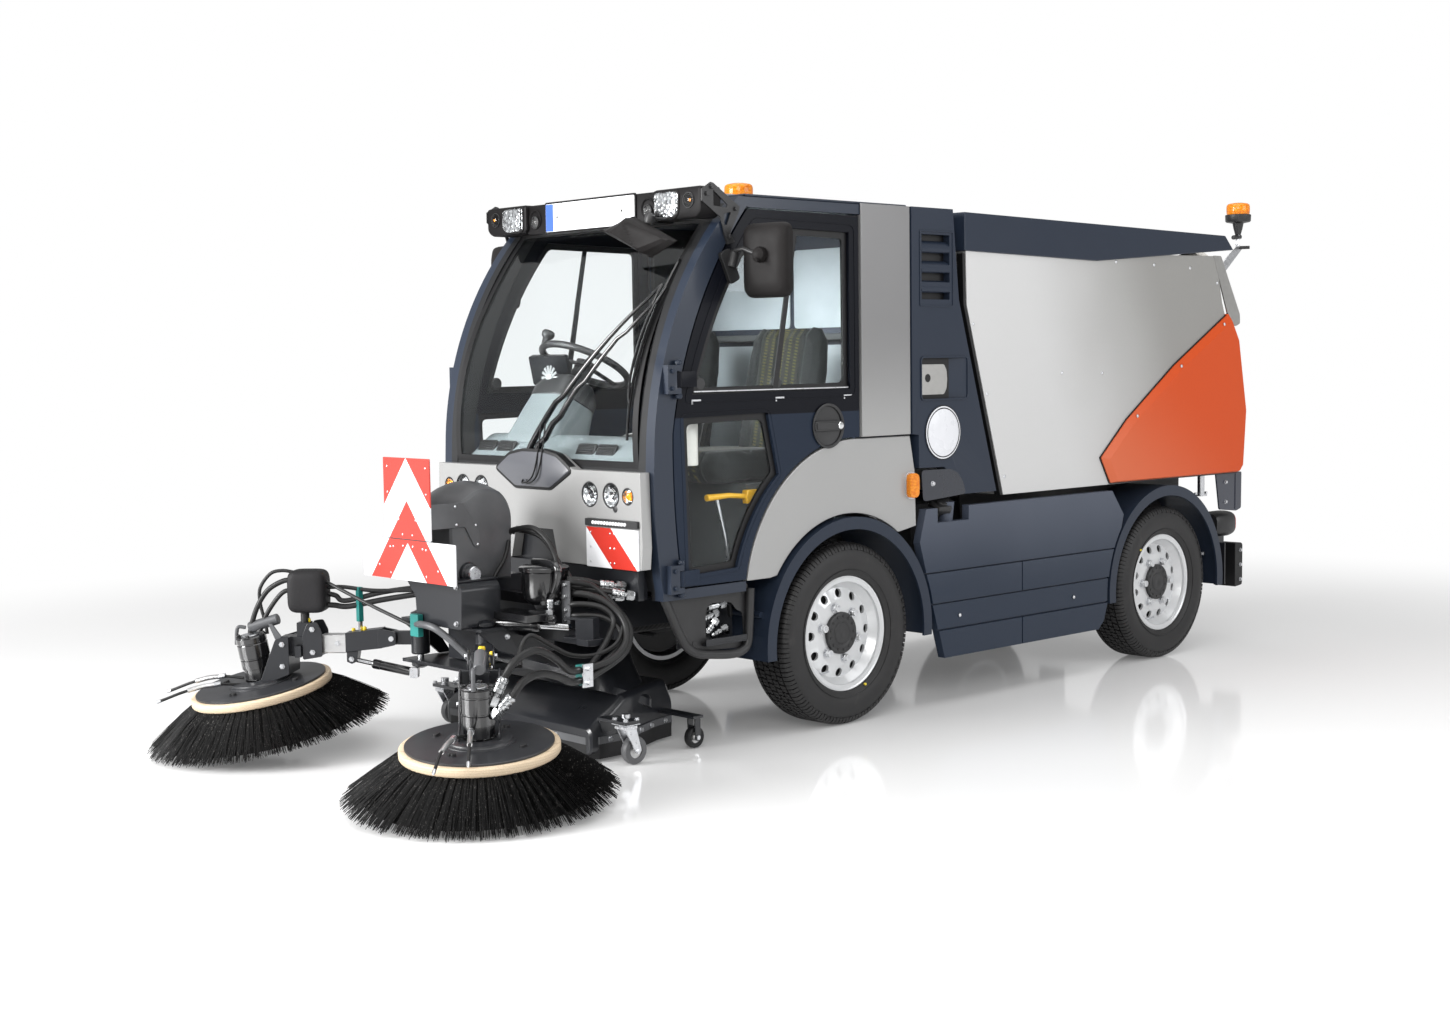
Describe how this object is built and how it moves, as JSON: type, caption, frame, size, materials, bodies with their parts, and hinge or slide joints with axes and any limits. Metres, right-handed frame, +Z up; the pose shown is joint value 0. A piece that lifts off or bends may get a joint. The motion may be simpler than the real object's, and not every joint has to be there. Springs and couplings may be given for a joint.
{
  "type": "street sweeper truck",
  "caption": "Compact two-axle street sweeper with a glazed cab, tipping aluminium hopper, suction mouth and two front disc brushes on swinging arms.",
  "frame": {"origin": "on the ground under the middle of the whole machine, brushes and beacon included", "axes": "+X to the vehicle's left, -Y forwards, +Z up"},
  "size_m": [2.2043, 5.1429, 2.1299],
  "materials": {
    "dark_paint": "satin dark blue-grey paint",
    "grey_paint": "satin silver-grey paint",
    "orange_paint": "gloss orange paint",
    "chassis_black": "black chassis paint",
    "hopper_metal": "fine brushed sheet",
    "wheel_silver": "silver wheel paint",
    "tyre": "moulded tread and sidewall",
    "black_plastic": "fine grained",
    "cabin_plastic": "light grey trim",
    "tower_grey": "textured dark grey paint",
    "glass": "clear safety glass",
    "lamp_lens": "clear and amber lenses",
    "board": "reflective white and red film",
    "rubber": "black rubber",
    "seat_cloth": "woven cloth",
    "bristle": "stiff black bristles on a birch ring",
    "steel": "bright zinc",
    "cast": "plain casting"
  },
  "bodies": {
    "chassis": {"chassis_rails": "chassis_black", "cross_members": "chassis_black", "front_axle": "chassis_black", "rear_axle": "chassis_black", "engine_block": "cast", "cab_floor": "cabin_plastic", "cab_frame": "dark_paint", "cab_roof": "dark_paint", "windscreen": "glass", "front_panel": "grey_paint", "bumper": "black_plastic", "quarter_panels": "grey_paint", "rear_pillars": "dark_paint", "side_skirts": "dark_paint", "wheel_arches": "dark_paint", "lamp_bar": "black_plastic", "lamps": "lamp_lens", "warning_boards": "board", "seats": "seat_cloth", "dashboard": "cabin_plastic", "tool_tower": "tower_grey", "suction_mouth": "chassis_black", "suction_hose": "rubber"},
    "steering_wheel": {"steering_wheel": "black_plastic"},
    "left_door": {"left_door": "dark_paint", "left_door_glass": "glass", "left_mirror": "black_plastic"},
    "right_door": {"right_door": "dark_paint", "right_door_glass": "glass", "right_mirror": "black_plastic"},
    "hopper": {"hopper": "hopper_metal", "hopper_lugs": "chassis_black", "hopper_cover": "dark_paint", "corner_panels": "orange_paint", "hopper_beacon": "lamp_lens"},
    "hopper_door": {"hopper_door": "hopper_metal"},
    "tilt_cylinders": {"tilt_cylinders": "chassis_black"},
    "tilt_rods": {"tilt_rods": "steel"},
    "left_knuckle": {"left_knuckle": "cast"},
    "front_left_wheel": {"front_left_tyre": "tyre", "front_left_rim": "wheel_silver"},
    "rear_left_wheel": {"rear_left_tyre": "tyre", "rear_left_rim": "wheel_silver"},
    "left_arm_bracket": {"left_arm_bracket": "chassis_black"},
    "left_brush_arm": {"left_brush_arm": "chassis_black"},
    "left_brush": {"left_brush": "bristle"},
    "left_caster_fork": {"left_caster_fork": "steel"},
    "left_caster_wheel": {"left_caster_wheel": "rubber"},
    "left_roller": {"left_roller": "rubber"},
    "right_knuckle": {"right_knuckle": "cast"},
    "front_right_wheel": {"front_right_tyre": "tyre", "front_right_rim": "wheel_silver"},
    "rear_right_wheel": {"rear_right_tyre": "tyre", "rear_right_rim": "wheel_silver"},
    "right_arm_bracket": {"right_arm_bracket": "chassis_black"},
    "right_brush_arm": {"right_brush_arm": "chassis_black"},
    "right_brush": {"right_brush": "bristle"},
    "right_caster_fork": {"right_caster_fork": "steel"},
    "right_caster_wheel": {"right_caster_wheel": "rubber"},
    "right_roller": {"right_roller": "rubber"}
  },
  "joints": [
    {"name": "left_steer", "type": "hinge", "parent": "chassis", "child": "left_knuckle", "pos_m": [0.44, -0.35, 0.352], "axis": [0, 0, 1], "range_deg": [-28, 28]},
    {"name": "front_left_wheel_spin", "type": "hinge", "parent": "left_knuckle", "child": "front_left_wheel", "pos_m": [0.522, -0.35, 0.352], "axis": [1, 0, 0], "continuous": true},
    {"name": "rear_left_wheel_spin", "type": "hinge", "parent": "chassis", "child": "rear_left_wheel", "pos_m": [0.522, 1.79, 0.352], "axis": [1, 0, 0], "continuous": true},
    {"name": "right_steer", "type": "hinge", "parent": "chassis", "child": "right_knuckle", "pos_m": [-0.44, -0.35, 0.352], "axis": [0, 0, 1], "range_deg": [-28, 28]},
    {"name": "front_right_wheel_spin", "type": "hinge", "parent": "right_knuckle", "child": "front_right_wheel", "pos_m": [-0.522, -0.35, 0.352], "axis": [1, 0, 0], "continuous": true},
    {"name": "rear_right_wheel_spin", "type": "hinge", "parent": "chassis", "child": "rear_right_wheel", "pos_m": [-0.522, 1.79, 0.352], "axis": [1, 0, 0], "continuous": true},
    {"name": "left_arm_swing", "type": "hinge", "parent": "chassis", "child": "left_arm_bracket", "pos_m": [0.2, -1.75, 0.415], "axis": [0, 0, 1], "range_deg": [-15, 18]},
    {"name": "left_arm_lift", "type": "hinge", "parent": "left_arm_bracket", "child": "left_brush_arm", "pos_m": [0.27863, -1.81178, 0.415], "axis": [-0.6178, -0.7863, 0], "range_deg": [0, 14]},
    {"name": "left_brush_spin", "type": "hinge", "parent": "left_brush_arm", "child": "left_brush", "pos_m": [0.69, -2.135, 0.19643], "axis": [0.0677, -0.0726, 0.9951], "continuous": true},
    {"name": "left_caster_swivel", "type": "hinge", "parent": "chassis", "child": "left_caster_fork", "pos_m": [0.545, -1.41, 0.156], "axis": [0, 0, 1], "continuous": true},
    {"name": "left_caster_roll", "type": "hinge", "parent": "left_caster_fork", "child": "left_caster_wheel", "pos_m": [0.545, -1.376, 0.051], "axis": [1, 0, 0], "continuous": true},
    {"name": "left_roller_spin", "type": "hinge", "parent": "chassis", "child": "left_roller", "pos_m": [0.5, -1.05, 0.042], "axis": [1, 0, 0], "continuous": true},
    {"name": "left_door_hinge", "type": "hinge", "parent": "chassis", "child": "left_door", "pos_m": [0.636, -1.222, 1], "axis": [0, 0, -1], "range_deg": [0, 75]},
    {"name": "right_arm_swing", "type": "hinge", "parent": "chassis", "child": "right_arm_bracket", "pos_m": [-0.2, -1.75, 0.415], "axis": [0, 0, -1], "range_deg": [-15, 18]},
    {"name": "right_arm_lift", "type": "hinge", "parent": "right_arm_bracket", "child": "right_brush_arm", "pos_m": [-0.27399, -1.81727, 0.415], "axis": [-0.6727, 0.7399, 0], "range_deg": [0, 14]},
    {"name": "right_brush_spin", "type": "hinge", "parent": "right_brush_arm", "child": "right_brush", "pos_m": [-0.64, -2.15, 0.23195], "axis": [-0.0285, -0.1809, 0.9831], "continuous": true},
    {"name": "right_caster_swivel", "type": "hinge", "parent": "chassis", "child": "right_caster_fork", "pos_m": [-0.545, -1.41, 0.156], "axis": [0, 0, 1], "continuous": true},
    {"name": "right_caster_roll", "type": "hinge", "parent": "right_caster_fork", "child": "right_caster_wheel", "pos_m": [-0.545, -1.376, 0.051], "axis": [1, 0, 0], "continuous": true},
    {"name": "right_roller_spin", "type": "hinge", "parent": "chassis", "child": "right_roller", "pos_m": [-0.5, -1.05, 0.042], "axis": [1, 0, 0], "continuous": true},
    {"name": "right_door_hinge", "type": "hinge", "parent": "chassis", "child": "right_door", "pos_m": [-0.636, -1.222, 1], "axis": [0, 0, 1], "range_deg": [0, 75]},
    {"name": "steering_wheel_turn", "type": "hinge", "parent": "chassis", "child": "steering_wheel", "pos_m": [-0.28, -0.89, 1.392], "axis": [0, 0.4695, 0.8829], "range_deg": [-420, 420]},
    {"name": "hopper_tilt", "type": "hinge", "parent": "chassis", "child": "hopper", "pos_m": [0, 2.27, 0.79], "axis": [-1, 0, 0], "range_deg": [0, 45]},
    {"name": "hopper_door_hinge", "type": "hinge", "parent": "hopper", "child": "hopper_door", "pos_m": [0, 2.34, 1.7], "axis": [1, 0, 0], "range_deg": [0, 80]},
    {"name": "tilt_cylinder_pivot", "type": "hinge", "parent": "chassis", "child": "tilt_cylinders", "pos_m": [0, 1.15, 0.47], "axis": [1, 0, 0], "range_deg": [0, 15.5]},
    {"name": "tilt_rod_slide", "type": "slide", "parent": "tilt_cylinders", "child": "tilt_rods", "axis": [0, 0.8914, 0.4531], "range_m": [0, 0.3317]}
  ],
  "couplings": [
    {"joint": "right_steer", "follows": "left_steer", "ratio": 1},
    {"joint": "steering_wheel_turn", "follows": "left_steer", "ratio": 15},
    {"joint": "tilt_cylinder_pivot", "follows": "hopper_tilt", "ratio": 0.34326},
    {"joint": "tilt_rod_slide", "follows": "hopper_tilt", "m_per_rad": 0.4217}
  ]
}
